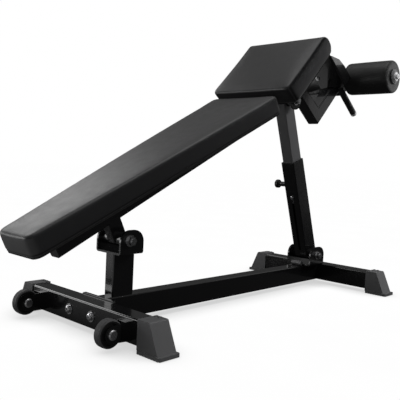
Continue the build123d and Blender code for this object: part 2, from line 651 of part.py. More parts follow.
# bracket for the post head: U plate under the thigh tube, ears down and rounded about the pin
TOP_EAR_R = 34.0
TOP_EAR_E0, TOP_EAR_E1 = -57.0, 52.0
with BuildPart() as post_top_bracket:
    for ear_y in (EARS_HALF, -EARS_HALF + EAR_T):
        with BuildSketch(side(ear_y)):
            profile([THIGH.at(TOP_EAR_E0, THIGH_N0), THIGH.at(TOP_EAR_E1, THIGH_N0),
                     THIGH.at(TOP_EAR_R, 0), THIGH.at(0, -10), THIGH.at(-TOP_EAR_R, 0)])
            with Locations(TOP_PIVOT):
                Circle(TOP_EAR_R)
                Circle(PIVOT_BOLT_R, mode=Mode.SUBTRACT)
        extrude(amount=EAR_T)
    with BuildSketch(side(EARS_HALF)):
        profile([THIGH.at(TOP_EAR_E0, THIGH_N0 - EAR_T), THIGH.at(TOP_EAR_E1, THIGH_N0 - EAR_T),
                 THIGH.at(TOP_EAR_E1, THIGH_N0), THIGH.at(TOP_EAR_E0, THIGH_N0)])
    extrude(amount=2 * EARS_HALF)
save(post_top_bracket, "post_top_bracket")

# post head pin with its far washer in one piece, and its nut with the near washer
with BuildPart() as post_top_bolt:
    pivot_bolt(TOP_PIVOT, EARS_HALF)
    across(TOP_PIVOT, EARS_HALF, EARS_HALF + PIVOT_WASHER_T, PIVOT_WASHER_R, bore=4)
save(post_top_bolt, "post_top_bolt")

with BuildPart() as post_top_nut:
    across(TOP_PIVOT, -EARS_HALF - PIVOT_WASHER_T, -EARS_HALF, PIVOT_WASHER_R,
           bore=PIVOT_BOLT_R + THREAD_FIT)
    pivot_nut(TOP_PIVOT, EARS_HALF)
save(post_top_nut, "post_top_nut")

# ================================================================ pads
TAB_T, TAB_SIZE = 4.0, 40.0
SCREW_R, SCREW_HEAD_R, SCREW_HEAD_T = 4.0, 7.0, 5.0


def beside_tube(stations, offset):
    """Places on both sides of a pad tube, at an offset from its side faces."""
    return [(u, sign * (SEAT_TUBE_HALF + offset)) for u in stations for sign in (1, -1)]


SEAT_TABS = (-150.0, 200.0, 560.0)
THIGH_TABS = (-70.0, 100.0)
SEAT_SCREWS = beside_tube(SEAT_TABS, 24)
THIGH_SCREWS = beside_tube(THIGH_TABS, 24)
# frame, top of the tube, stations of the tabs, places of the screws
PAD_MOUNTS = ((SEAT, SEAT_V1, SEAT_TABS, SEAT_SCREWS),
              (THIGH, THIGH_N1, THIGH_TABS, THIGH_SCREWS))

with BuildPart() as pad_tabs:
    for frame, tube_top, stations, screws in PAD_MOUNTS:
        with BuildSketch(frame.facing_v(0, tube_top - TAB_T)):
            with Locations(*beside_tube(stations, TAB_SIZE / 2)):
                Rectangle(TAB_SIZE, TAB_SIZE)
            with Locations(*screws):
                Circle(SCREW_R + 0.4, mode=Mode.SUBTRACT)
        extrude(amount=TAB_T)
save(pad_tabs, "pad_tabs")

with BuildPart() as pad_screws:
    for frame, tube_top, stations, screws in PAD_MOUNTS:
        tab_under = tube_top - TAB_T
        rounds(frame.facing_v(0, tab_under - SCREW_HEAD_T), screws, SCREW_HEAD_T, SCREW_HEAD_R)
        rounds(frame.facing_v(0, tab_under), screws, TAB_T + 11, SCREW_R)
save(pad_screws, "pad_screws")


def seat_pad_half_width(u):
    """Half width of the long pad at u: a slightly bowed taper."""
    t = (u - SEAT_PAD_U0) / (SEAT_PAD_U1 - SEAT_PAD_U0)
    return SEAT_PAD_LOW + (SEAT_PAD_HIGH - SEAT_PAD_LOW) * t + SEAT_PAD_BOW * sin(pi * t)


def seat_pad_sides(inset):
    """Points up the near long side of the long pad and back down the far one."""
    length = SEAT_PAD_U1 - SEAT_PAD_U0 - 2 * inset
    stations = [SEAT_PAD_U0 + inset + length * k / SEAT_PAD_SPANS
                for k in range(SEAT_PAD_SPANS + 1)]
    return ([(u, -seat_pad_half_width(u) + inset) for u in stations],
            [(u, seat_pad_half_width(u) - inset) for u in reversed(stations)])


def seat_pad_layer(label, base_v, thickness, inset, screws=(), top_round=0.0):
    """One layer of the long pad, with screw holes or a rounded top edge if asked."""
    with BuildPart() as layer:
        with BuildSketch(SEAT.facing_v(0, base_v)):
            near_side, far_side = seat_pad_sides(inset)
            with BuildLine():
                Spline(*near_side)
                Line(near_side[-1], far_side[0])
                Spline(*far_side)
                Line(far_side[-1], near_side[0])
            make_face()
            fillet(vertices().group_by(Axis.X)[0], 26)
            fillet(vertices().group_by(Axis.X)[-1], 22)
            if screws:
                with Locations(*screws):
                    Circle(SCREW_R, mode=Mode.SUBTRACT)
        extrude(amount=thickness)
        if top_round:
            top = faces().sort_by(SortBy.AREA)[-2:].sort_by(Axis.Z)[-1]
            fillet(top.edges(), top_round)
    save(layer, label)


# long pad: plywood board and foam cushion
seat_pad_layer("seat_pad_board", SEAT_V1, BOARD_T, inset=3, screws=SEAT_SCREWS)
seat_pad_layer("seat_pad_cushion", SEAT_V1 + BOARD_T, SEAT_PAD_V - SEAT_V1 - BOARD_T,
               inset=0, top_round=8)

# short pad: plywood board and cushion with a rounded upper nose
with BuildPart() as thigh_pad_board:
    with BuildSketch(THIGH.facing_v(0, THIGH_N1)):
        with Locations(((THIGH_BOARD_E0 + THIGH_BOARD_E1) / 2, 0)):
            RectangleRounded(THIGH_BOARD_E1 - THIGH_BOARD_E0, 2 * THIGH_HALF - 8, 20)
        with Locations(*THIGH_SCREWS):
            Circle(SCREW_R, mode=Mode.SUBTRACT)
    extrude(amount=BOARD_T)
save(thigh_pad_board, "thigh_pad_board")

CUSHION_N0 = THIGH_N1 + BOARD_T
NOSE_R = (THIGH_TOP - CUSHION_N0) / 2
NOSE_E = THIGH_E1 - NOSE_R      # where the nose begins
with BuildPart() as thigh_pad_cushion:
    with BuildSketch(side(THIGH_HALF)):
        low_under = THIGH.at(THIGH_E0 + THIGH_SLANT, CUSHION_N0)
        low_top = THIGH.at(THIGH_E0, THIGH_TOP)
        nose_under, nose_top = THIGH.at(NOSE_E, CUSHION_N0), THIGH.at(NOSE_E, THIGH_TOP)
        with BuildLine():
            Line(low_under, nose_under)
            ThreePointArc(nose_under, THIGH.at(THIGH_E1, CUSHION_N0 + NOSE_R), nose_top)
            Line(nose_top, low_top)
            Line(low_top, low_under)
        make_face()
    extrude(amount=2 * THIGH_HALF)
    # the slanted corners of the low end
    fillet([e for e in edges()
            if abs(e.center().Y) > THIGH_HALF - 0.5 and 60 < e.length < 75
            and abs(direction(e).Y) < 0.01 and e.geom_type == GeomType.LINE], 20)
    top = faces().filter_by(GeomType.PLANE).sort_by(SortBy.AREA)[-2:].sort_by(Axis.Z)[-1]
    fillet([e for e in top.edges() if THIGH.u_of(e.center()) < NOSE_E - 1], 8)
save(thigh_pad_cushion, "thigh_pad_cushion")


# ================================================================ roller arm
def arm_edges(part, least):
    """Long edges of an arm tube, without those cut off at the shelf and the thigh tube."""
    kept = []
    for e in long_edges(part, least):
        ends = (e @ 0, e @ 1)
        on_shelf = all(abs(SHELF.v_of(p)) < 0.1 for p in ends)
        on_thigh_tube = all(abs(THIGH.v_of(p) - THIGH_N0) < 0.1 for p in ends)
        if not on_shelf and not on_thigh_tube:
            kept.append(e)
    return kept


def roller_arm_outline(inset):
    """Leg down from the thigh tube, and foot out to the back of the roller bracket."""
    leg0, leg1 = ARM_M0 + inset, ARM_M1 - inset
    foot0, foot1 = ARM_N0 + inset, ARM_N1 - inset
    end, top = BRACKET_M0 - inset, THIGH_N0 - inset
    return [cross(ARM, leg0, THIGH, top), cross(ARM, leg0, THIGH, foot0),
            cross(ARM, end, THIGH, foot0), cross(ARM, end, SHELF, 0),
            cross(SHELF, 0, THIGH, foot1), cross(ARM, leg1, THIGH, foot1),
            cross(ARM, leg1, THIGH, top)]


def roller_stem_outline(inset):
    """Second tube in the crook of the arm, up to the shelf of the roller bracket."""
    leg, low, high = ARM_M1 + inset, STEM_N0 + inset, STEM_N1 - inset
    return [cross(ARM, leg, THIGH, low), cross(SHELF, 0, THIGH, low),
            cross(SHELF, 0, THIGH, high), cross(ARM, leg, THIGH, high)]


outlined_tube("roller_arm", roller_arm_outline, ARM_HALF, arm_edges, 60, 4)
outlined_tube("roller_stem", roller_stem_outline, ARM_HALF, arm_edges, 60, 4)

# roller bracket: bent U plate, web towards the head end
ROLLER_AXIS = ARM.at(ROLLER_D, ROLLER_M)
WEB_M = BRACKET_M0 + EAR_T      # face of the web on the roller side
BRACKET_BOLT_R = 5.0
BRACKET_BOLT = [(172.0, 48.0)]  # d, Y
with BuildPart() as roller_bracket:
    for ear_y in (BRACKET_HALF, -BRACKET_HALF + EAR_T):
        with BuildSketch(side(ear_y)) as ear:
            profile([ARM.at(BRACKET_D0, BRACKET_M0), ARM.at(BRACKET_D1, BRACKET_M0),
                     ARM.at(BRACKET_D1, BRACKET_M1), ARM.at(165, BRACKET_M1),
                     ARM.at(113, 335), ARM.at(BRACKET_D0 + 8, 302)])
            fillet(ear.vertices().sort_by(Axis.X)[-1], 5)
        extrude(amount=EAR_T)
    with BuildSketch(side(BRACKET_HALF)):
        profile([ARM.at(BRACKET_D0, BRACKET_M0), ARM.at(BRACKET_D1, BRACKET_M0),
                 ARM.at(BRACKET_D1, WEB_M), ARM.at(BRACKET_D0, WEB_M)])
    extrude(amount=2 * BRACKET_HALF)
    # lower flange lying on the cut ends of the arm tubes
    with BuildSketch(side(ARM_HALF)):
        profile([ARM.at(BRACKET_D1, WEB_M), cross(ARM, BRACKET_M0, SHELF, 0),
                 SHELF.at(-13, 0), SHELF.at(-13, SHELF_T),
                 ARM.at(BRACKET_D1 - 7, BRACKET_M0), ARM.at(BRACKET_D1 - 7, WEB_M)])
    extrude(amount=2 * ARM_HALF)
    # lug from the web, reaching between the rollers to the axle
    with BuildSketch(side(LUG_HALF)):
        profile([ARM.at(125, WEB_M), ARM.at(222, WEB_M), ARM.at(232, 312), ARM.at(232, 349),
                 ARM.at(ROLLER_D + 14, ROLLER_M - 18), ARM.at(ROLLER_D, ROLLER_M),
                 ARM.at(ROLLER_D - 18, ROLLER_M + 16)])
        with Locations(ROLLER_AXIS):
            Circle(24)
            Circle(AXLE_R, mode=Mode.SUBTRACT)
    extrude(amount=2 * LUG_HALF)
    # bends between the web and the ears
    fillet([e for e in edges()
            if e.length > 150 and abs(abs(e.center().Y) - BRACKET_HALF) < 0.1
            and abs(ARM.v_of(e.center()) - BRACKET_M0) < 0.1], 8)
    rounds(ARM.facing_v(0, BRACKET_M0 - 1), BRACKET_BOLT, EAR_T + 2, BRACKET_BOLT_R,
           mode=Mode.SUBTRACT)
save(roller_bracket, "roller_bracket")

# dome headed bolt through the far half of the web, with its nut on the roller side
DOME_R, DOME_T = 9.5, 6.0
with BuildPart() as roller_bracket_bolt:
    rounds(ARM.facing_v(0, BRACKET_M0), BRACKET_BOLT, EAR_T, BRACKET_BOLT_R)
    rounds(ARM.facing_v(0, BRACKET_M0 - DOME_T), BRACKET_BOLT, DOME_T, DOME_R)
    fillet(rims(DOME_R, ARM.v_of, BRACKET_M0 - DOME_T), 4)
    rounds(ARM.facing_v(0, WEB_M), BRACKET_BOLT, 8, 9, sides=6)
save(roller_bracket_bolt, "roller_bracket_bolt")

# roller axle with its two shoulder collars
END_Y = ROLLER_OUT + 2          # end of the axle
with BuildPart() as roller_axle:
    across(ROLLER_AXIS, -END_Y, END_Y, AXLE_R)
    across_pair(ROLLER_AXIS, LUG_HALF, LUG_HALF + 4.5, 20)
save(roller_axle, "roller_axle")

# end caps of the axle: stepped bush
CAP_R, CAP_STEP_Y, CAP_Y = 31.0, END_Y + 5, END_Y + 8
END_BOLT_R = 6.0
with BuildPart() as roller_end_caps:
    across_pair(ROLLER_AXIS, END_Y, CAP_STEP_Y, CAP_R)
    across_pair(ROLLER_AXIS, CAP_STEP_Y, CAP_Y, 25)
    across_pair(ROLLER_AXIS, END_Y, CAP_Y, END_BOLT_R + THREAD_FIT, mode=Mode.SUBTRACT)
    fillet(rims(CAP_R, y_of, CAP_STEP_Y, -CAP_STEP_Y), 2)
save(roller_end_caps, "roller_end_caps")

# bolts in the axle ends: shank through the bush, washer, round head with a hexagon socket
END_HEAD_R = 12.0
END_WASHER_Y = CAP_Y + 3
END_HEAD_Y = END_WASHER_Y + 9
with BuildPart() as roller_end_bolts:
    across_pair(ROLLER_AXIS, END_Y, CAP_Y, END_BOLT_R)
    across_pair(ROLLER_AXIS, CAP_Y, END_WASHER_Y, 18)
    across_pair(ROLLER_AXIS, END_WASHER_Y, END_HEAD_Y, END_HEAD_R)
    fillet(rims(END_HEAD_R, y_of, END_HEAD_Y, -END_HEAD_Y), 3)
    across_pair(ROLLER_AXIS, END_HEAD_Y - 6, END_HEAD_Y, 5.5, sides=6, mode=Mode.SUBTRACT)
save(roller_end_bolts, "roller_end_bolts")

# foam rollers on their core tubes
for place, sign in (("near", -1), ("far", 1)):
    core_y0, core_y1 = sorted((sign * (ROLLER_IN - 1), sign * (ROLLER_OUT + 0.5)))
    with BuildPart() as roller_core:
        across(ROLLER_AXIS, core_y0, core_y1, CORE_R, bore=AXLE_R + 0.05)
    save(roller_core, "roller_core_" + place)

    foam_y0, foam_y1 = sorted((sign * ROLLER_IN, sign * ROLLER_OUT))
    with BuildPart() as roller_foam:
        across(ROLLER_AXIS, foam_y0, foam_y1, ROLLER_R, bore=CORE_R)
        fillet(rims(ROLLER_R, y_of, foam_y0, foam_y1), 5)
    save(roller_foam, "roller_foam_" + place)

# ================================================================ lifting handle
HANDLE_D, HANDLE_M = 214.0, 330.0   # the handle leaves the lug between the rollers
# along the handle: start of the rod, start and end of the grip, end of the knob
ROD_T0, GRIP_T0, GRIP_T1, KNOB_T1 = 18.0, 25.0, 226.0, 239.0
HANDLE_R, ROD_R = 14.0, 8.5
GRIP_GROOVES, GRIP_PITCH, GRIP_GROOVE_W = 9, 19.0, 3.0


def handle_round(t0, t1, radius, **options):
    """Round along the handle between two distances from its start."""
    x, z = ARM.at(HANDLE_D + t0, HANDLE_M)
    plane = Plane(origin=(x, 0, z), x_dir=(0, 1, 0), z_dir=(ARM.u_dir[0], 0, ARM.u_dir[1]))
    rounds(plane, [(0, 0)], t1 - t0, radius, **options)


with BuildPart() as handle_rod:
    handle_round(ROD_T0, GRIP_T1, ROD_R)
    handle_round(GRIP_T1, KNOB_T1, HANDLE_R)
    fillet(rims(HANDLE_R, ARM.u_of, HANDLE_D + KNOB_T1), 3)
save(handle_rod, "handle_rod")

with BuildPart() as handle_grip:
    handle_round(GRIP_T0, GRIP_T1, HANDLE_R, bore=ROD_R)
    for k in range(GRIP_GROOVES):
        groove_t = GRIP_T0 + 22 + GRIP_PITCH * k
        handle_round(groove_t, groove_t + GRIP_GROOVE_W, HANDLE_R + 1, bore=HANDLE_R - 1.2,
                     mode=Mode.SUBTRACT)
save(handle_grip, "handle_grip")
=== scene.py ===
# Decline bench: a long seat pad, a shorter thigh pad and a pair of foam rollers on a steel frame.
# The bench runs along X, its pads rise towards +X and the rollers turn about Y.
# "Near" is the -Y side, where the camera stands, and "far" is the +Y side. Metres, +Z up.
import bpy
import json
import math
import numpy as np
from mathutils import Matrix, Vector


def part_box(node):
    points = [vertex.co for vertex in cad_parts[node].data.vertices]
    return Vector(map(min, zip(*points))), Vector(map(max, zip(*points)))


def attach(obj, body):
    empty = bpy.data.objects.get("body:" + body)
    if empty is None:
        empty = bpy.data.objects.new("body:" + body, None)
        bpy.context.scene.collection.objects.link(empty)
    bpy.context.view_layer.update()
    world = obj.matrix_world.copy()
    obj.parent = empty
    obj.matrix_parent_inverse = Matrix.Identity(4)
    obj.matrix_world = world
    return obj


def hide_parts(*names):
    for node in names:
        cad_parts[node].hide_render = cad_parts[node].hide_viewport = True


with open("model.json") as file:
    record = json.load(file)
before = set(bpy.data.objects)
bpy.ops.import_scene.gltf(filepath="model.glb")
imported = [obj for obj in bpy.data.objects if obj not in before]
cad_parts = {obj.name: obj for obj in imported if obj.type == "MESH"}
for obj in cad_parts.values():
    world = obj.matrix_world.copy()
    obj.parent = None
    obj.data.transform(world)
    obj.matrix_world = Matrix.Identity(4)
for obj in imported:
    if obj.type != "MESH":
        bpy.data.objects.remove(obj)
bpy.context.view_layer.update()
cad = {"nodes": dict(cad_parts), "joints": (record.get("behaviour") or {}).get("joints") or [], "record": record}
NODES = cad["nodes"]
JOINTS = {joint["name"]: joint for joint in cad["joints"]}
SLOT_OF = {part["node"]: part["material_slot"] for part in cad["record"]["subparts"]}
scene = bpy.context.scene


# ------------------------------------------------------------------ pad frames
SEAT_ANGLE, THIGH_ANGLE = 26.5, 45.5      # rise towards +X, degrees
SEAT_OFFSET = (0.0095, 0, -0.002)         # from the decline hinge to the seat frame's origin
POST_REACH = 0.661102                     # from the post's tilt joint, against its slide axis


def pad_frame(origin, angle):
    """Axes (as columns) and origin of a frame turned about Y: x along the pad, z out of it."""
    turn = math.radians(angle)
    along = (math.cos(turn), 0, math.sin(turn))
    out = (-math.sin(turn), 0, math.cos(turn))
    return np.array((along, (0, 1, 0), out)).T, np.array((origin[0], 0, origin[2]))


def to_local(points, frame):
    axes, origin = frame
    return (points - origin) @ axes


def to_world(points, frame):
    axes, origin = frame
    return points @ axes.T + origin


def joint_vector(joint, key):
    return np.array(JOINTS[joint][key], float)


post_top = joint_vector("post_tilt", "pos_m") - joint_vector("post_slide", "axis") * POST_REACH
SEAT = pad_frame(joint_vector("decline", "pos_m") + np.array(SEAT_OFFSET), SEAT_ANGLE)
THIGH = pad_frame(post_top, THIGH_ANGLE)


# ------------------------------------------------------------------ shader building
NOISE_ROUGHNESS = 0.55


def grey(level):
    return (level, level, level)


def scaled(colour, factor):
    return tuple(channel * factor for channel in colour)


class ShaderTree:
    """Adds shader nodes to a material or world and wires them; values may be sockets."""

    def __init__(self, owner, output="ShaderNodeOutputMaterial", coordinates="Object"):
        owner.use_nodes = True
        self.owner = owner
        self.tree = owner.node_tree
        self.tree.nodes.clear()
        self.out = self.add(output, {})
        self.coord = self.add("ShaderNodeTexCoord", {}).outputs[coordinates]

    def add(self, kind, inputs, **settings):
        node = self.tree.nodes.new(kind)
        for key, value in settings.items():
            setattr(node, key, value)
        for key, value in inputs.items():
            socket = node.inputs[key]
            if hasattr(value, "links"):
                self.tree.links.new(value, socket)
            elif socket.type == "RGBA":
                socket.default_value = (*value, 1)
            else:
                socket.default_value = value
        return node

    def surface(self, node):
        self.tree.links.new(node.outputs[0], self.out.inputs[0])
        return self.owner

    def principled(self, inputs):
        return self.surface(self.add("ShaderNodeBsdfPrincipled", inputs))

    def camera_split(self, camera, others):
        """One shader for camera rays and another for every other ray."""
        is_camera = self.add("ShaderNodeLightPath", {}).outputs["Is Camera Ray"]
        inputs = {0: is_camera, 1: others.outputs[0], 2: camera.outputs[0]}
        return self.surface(self.add("ShaderNodeMixShader", inputs))

    def separate(self):
        return self.add("ShaderNodeSeparateXYZ", {0: self.coord}).outputs

    def noise(self, scale, detail):
        inputs = {"Vector": self.coord, "Scale": scale, "Detail": detail,
                  "Roughness": NOISE_ROUGHNESS}
        return self.add("ShaderNodeTexNoise", inputs).outputs["Fac"]

    def voronoi(self, scale):
        inputs = {"Vector": self.coord, "Scale": scale}
        return self.add("ShaderNodeTexVoronoi", inputs).outputs["Distance"]

    def spread(self, value, low, high, start=0.3, end=0.7):
        """Maps start..end onto low..high, clamped."""
        inputs = {"Value": value, "From Min": start, "From Max": end,
                  "To Min": low, "To Max": high}
        return self.add("ShaderNodeMapRange", inputs, clamp=True).outputs["Result"]

    def mix(self, factor, first, second):
        inputs = {"Factor": factor, 6: first, 7: second}
        return self.add("ShaderNodeMix", inputs, data_type="RGBA").outputs[2]

    def math(self, operation, first, second=0.0):
        return self.add("ShaderNodeMath", {0: first, 1: second}, operation=operation).outputs[0]

    def bump(self, height, strength, distance, under=None):
        inputs = {"Height": height, "Strength": strength, "Distance": distance}
        if under is not None:
            inputs["Normal"] = under
        return self.add("ShaderNodeBump", inputs).outputs[0]

    def mottled(self, base, scale, detail, low, high):
        """Base colour drifting between low and high times itself."""
        return self.mix(self.noise(scale, detail), scaled(base, low), scaled(base, high))

    def varied(self, scale, detail, low, high):
        """A value drifting between low and high."""
        return self.spread(self.noise(scale, detail), low, high)


# ------------------------------------------------------------------ materials
def paint(name, base, rough, coat, coat_rough, peel):
    """Clear-coated paint; peel is the strength of its fine bumps."""
    shader = ShaderTree(bpy.data.materials.new(name))
    return shader.principled({
        "Base Color": shader.mottled(base, scale=9.0, detail=3, low=0.85, high=1.15),
        "Roughness": shader.varied(scale=35.0, detail=4, low=rough - 0.04, high=rough + 0.05),
        "Coat Weight": coat,
        "Coat Roughness": shader.varied(
            scale=22.0, detail=2, low=coat_rough * 0.8, high=coat_rough * 1.3),
        "Specular IOR Level": 0.5,
        "Normal": shader.bump(
            shader.noise(scale=420.0, detail=2), strength=peel, distance=0.0006),
    })


def metal(name, base, rough, metallic):
    shader = ShaderTree(bpy.data.materials.new(name))
    return shader.principled({
        "Base Color": shader.mottled(base, scale=60.0, detail=3, low=0.85, high=1.0),
        "Metallic": metallic,
        "Roughness": shader.varied(scale=260.0, detail=3, low=rough - 0.05, high=rough + 0.08),
    })


def plastic(name, base, rough, grain=0.25, grain_scale=900.0):
    shader = ShaderTree(bpy.data.materials.new(name))
    return shader.principled({
        "Base Color": shader.mottled(base, scale=14.0, detail=3, low=0.88, high=1.1),
        "Roughness": shader.varied(scale=50.0, detail=3, low=rough - 0.05, high=rough + 0.07),
        "Normal": shader.bump(
            shader.noise(grain_scale, detail=3), strength=grain, distance=0.0005),
    })


def vinyl(name, base, rough):
    """Grained vinyl with painted shade: darker and duller where the mesh's seam attribute is high, standing in
    for the shade in the seam groove.
    """
    shader = ShaderTree(bpy.data.materials.new(name))
    tint = shader.mottled(base, scale=6.0, detail=4, low=0.9, high=1.1)
    seam = shader.add("ShaderNodeAttribute", {}, attribute_name="seam").outputs["Fac"]
    fine = shader.math("MULTIPLY", shader.noise(scale=2200.0, detail=2), 0.5)
    grain = shader.math("ADD", shader.voronoi(scale=1100.0), fine)
    waves = shader.bump(shader.noise(scale=9.0, detail=2), strength=0.02, distance=0.01)
    return shader.principled({
        # painted shade: the seam groove is darkened and its reflection damped to stand in for its shade
        "Base Color": shader.mix(shader.math("MULTIPLY", seam, 0.9), tint, scaled(base, 0.1)),
        "Specular IOR Level": shader.spread(seam, low=0.5, high=0.02, start=0.1, end=0.75),
        "Roughness": shader.varied(scale=30.0, detail=4, low=rough - 0.03, high=rough + 0.05),
        "Normal": shader.bump(grain, strength=0.12, distance=0.0004, under=waves),
        "Sheen Weight": 0.05,
    })


def foam(name, base, rough):
    shader = ShaderTree(bpy.data.materials.new(name))
    grain = shader.math("ADD", shader.noise(scale=1400.0, detail=3), shader.voronoi(scale=1900.0))
    return shader.principled({
        "Base Color": shader.mottled(base, scale=18.0, detail=4, low=0.85, high=1.15),
        "Roughness": shader.varied(scale=45.0, detail=4, low=rough - 0.04, high=rough + 0.06),
        "Normal": shader.bump(grain, strength=0.25, distance=0.0005),
    })


def wheel_material(name, centre):
    """Black moulded disc with a greyer, rougher tread band at the rim."""
    tread_start, tread_full = 0.0335, 0.0350     # radii where the band fades in
    shader = ShaderTree(bpy.data.materials.new(name))
    position = shader.separate()
    squares = []
    for axis, middle in (("X", centre[0]), ("Z", centre[2])):
        offset = shader.math("SUBTRACT", position[axis], middle)
        squares.append(shader.math("MULTIPLY", offset, offset))
    radius = shader.math("SQRT", shader.math("ADD", *squares))
    tread = shader.spread(radius, low=0.0, high=1.0, start=tread_start, end=tread_full)
    disc_colour = shader.mix(shader.noise(scale=40, detail=3), grey(0.006), grey(0.009))
    tread_colour = shader.mix(
        shader.noise(scale=60, detail=4), (0.035, 0.035, 0.036), (0.055, 0.055, 0.056))
    return shader.principled({
        "Base Color": shader.mix(tread, disc_colour, tread_colour),
        "Roughness": shader.spread(tread, low=0.28, high=0.62, start=0, end=1),
        "Normal": shader.bump(
            shader.noise(scale=1100.0, detail=3), strength=0.2, distance=0.0004),
    })


MATERIALS = {
    "frame_black": paint("black_paint", base=(0.0030, 0.0030, 0.0032), rough=0.22,
                         coat=0.8, coat_rough=0.045, peel=0.03),
    "foot_plastic": plastic("grey_plastic", base=(0.085, 0.085, 0.087), rough=0.46),
    "black_plastic": plastic("black_plastic", base=grey(0.006), rough=0.36),
    "zinc": metal("zinc_plate", base=(0.78, 0.78, 0.79), rough=0.22, metallic=1.0),
    "inner_steel": paint("inner_tube_grey", base=(0.060, 0.060, 0.062), rough=0.34,
                         coat=0.4, coat_rough=0.12, peel=0.06),
    "vinyl": vinyl("vinyl", base=(0.010, 0.010, 0.0105), rough=0.36),
    "board": plastic("board_cloth", base=grey(0.008), rough=0.8, grain=0.5, grain_scale=1500.0),
    "foam": foam("foam_skin", base=grey(0.012), rough=0.36),
}
SATIN_ZINC = metal("zinc_satin", base=(0.80, 0.80, 0.81), rough=0.36, metallic=0.7)
SATIN_NODES = ("handle_rod", "roller_end_bolts")


def set_material(piece, material):
    piece.data.materials.clear()
    piece.data.materials.append(material)


for name, piece in NODES.items():
    slot = SLOT_OF.get(name)
    if slot == "wheel_rubber":
        low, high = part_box(name)
        set_material(piece, wheel_material("mat_" + name, (low + high) / 2))
    else:
        set_material(piece, SATIN_ZINC if name in SATIN_NODES else MATERIALS[slot])
    piece.data.shade_smooth()


# ------------------------------------------------------------------ mesh helpers
def new_mesh(name, points, faces):
    mesh = bpy.data.meshes.new(name)
    mesh.from_pydata([tuple(point) for point in points], [], faces)
    mesh.update()
    piece = bpy.data.objects.new(name, mesh)
    scene.collection.objects.link(piece)
    return piece


def vertex_vectors(vertices, key="co"):
    values = np.zeros(len(vertices) * 3)
    vertices.foreach_get(key, values)
    return values.reshape(-1, 3)


def coords(piece):
    return vertex_vectors(piece.data.vertices)


def set_coords(piece, points):
    piece.data.vertices.foreach_set("co", points.astype(np.float32).ravel())
    piece.data.update()


def apply_modifier(piece, kind, **settings):
    modifier = piece.modifiers.new(kind, kind)
    for key, value in settings.items():
        setattr(modifier, key, value)
    bpy.context.view_layer.objects.active = piece
    with bpy.context.temp_override(object=piece, active_object=piece, selected_objects=[piece]):
        bpy.ops.object.modifier_apply(modifier=modifier.name)


def subdivide(piece):
    apply_modifier(piece, "SUBSURF", levels=1)
    piece.data.shade_smooth()


def edge_pairs(piece):
    pairs = np.zeros(len(piece.data.edges) * 2, int)
    piece.data.edges.foreach_get("vertices", pairs)
    return pairs.reshape(-1, 2)


def smooth(values, edges, rounds):
    """Each round moves every vertex's value halfway to the mean of its neighbours'."""
    degree = np.bincount(edges.ravel(), minlength=len(values))[:, None].clip(1)
    for _ in range(rounds):
        total = np.zeros_like(values)
        np.add.at(total, edges[:, 0], values[edges[:, 1]])
        np.add.at(total, edges[:, 1], values[edges[:, 0]])
        values = values + (total / degree - values) * 0.5
    return values


def finish_piece(piece, slot, body, node):
    set_material(piece, MATERIALS[slot])
    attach(piece, body)
    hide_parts(node)


# ------------------------------------------------------------------ upholstery
COVER_SHRINK = 0.0012      # taken off the top and each side before the cover is filled out
COVER_VOXEL = 0.005
PINNED_HEIGHT = 0.012      # strip above the cover's lower edge that is held still
MAX_SWELL = 0.003          # furthest a vertex may move
CLOTH_FRAMES = 20
CLOTH = {
    "quality": 4,
    "mass": 0.4,
    "tension_stiffness": 18,
    "compression_stiffness": 18,
    "shear_stiffness": 6,
    "bending_stiffness": 4,
    "air_damping": 2,
    "use_pressure": True,
    "uniform_pressure_force": 4.0,
    "vertex_group_mass": "pin",
    "pin_stiffness": 4,
}
SEAM_DEPTH, SEAM_WIDTH = 0.0016, 0.0024


def inflate(piece, pinned):
    """Fills the closed cover out by cloth pressure, held where pinned is True."""
    start = coords(piece)
    group = piece.vertex_groups.new(name="pin")
    group.add([int(i) for i in np.nonzero(pinned)[0]], 1.0, "REPLACE")
    cloth = piece.modifiers.new("cloth", "CLOTH")
    for key, value in CLOTH.items():
        setattr(cloth.settings, key, value)
    cloth.settings.effector_weights.gravity = 0
    cloth.collision_settings.use_collision = False
    cloth.collision_settings.use_self_collision = False
    cloth.point_cache.frame_start = 1
    cloth.point_cache.frame_end = CLOTH_FRAMES
    scene.frame_start, scene.frame_end = 1, CLOTH_FRAMES
    for frame in range(1, CLOTH_FRAMES + 1):
        scene.frame_set(frame)
    evaluated = piece.evaluated_get(bpy.context.evaluated_depsgraph_get())
    swell = vertex_vectors(evaluated.to_mesh().vertices) - start
    evaluated.to_mesh_clear()
    piece.modifiers.clear()
    piece.vertex_groups.clear()
    scene.frame_set(1)
    length = np.linalg.norm(swell, axis=1, keepdims=True)
    set_coords(piece, start + swell * np.minimum(1.0, MAX_SWELL / np.maximum(length, 1e-9)))


def upholster(name, node, frame, bottom, top):
    """Vinyl cover over a pad's cushion, left in the pad's frame; bottom and top are z there."""
    source = NODES[node]
    cover = new_mesh(name, coords(source), [tuple(face.vertices) for face in source.data.polygons])
    points = to_local(coords(cover), frame)
    low, high = points.min(0), points.max(0)
    middle, half = (low + high) / 2, (high - low) / 2
    stretch = (top - COVER_SHRINK - bottom) / (high[2] - low[2])
    points[:, 2] = bottom + (points[:, 2] - low[2]) * stretch
    for i in (0, 1):
        points[:, i] = middle[i] + (points[:, i] - middle[i]) * (1 - COVER_SHRINK / half[i])
    set_coords(cover, points)
    apply_modifier(cover, "REMESH", mode="VOXEL", voxel_size=COVER_VOXEL, adaptivity=0,
                   use_smooth_shade=True)
    edges = edge_pairs(cover)
    crisp = smooth(coords(cover), edges, rounds=1)
    set_coords(cover, crisp)
    inflate(cover, pinned=crisp[:, 2] < bottom + PINNED_HEIGHT)
    # the swelling is smoothed apart from the shape, so the edges stay crisp
    set_coords(cover, crisp + smooth(coords(cover) - crisp, edges, rounds=40))
    subdivide(cover)
    finish_piece(cover, "vinyl", "seat", node)
    return cover


def seam_profile(distance):
    return np.exp(-(distance / SEAM_WIDTH) ** 2)


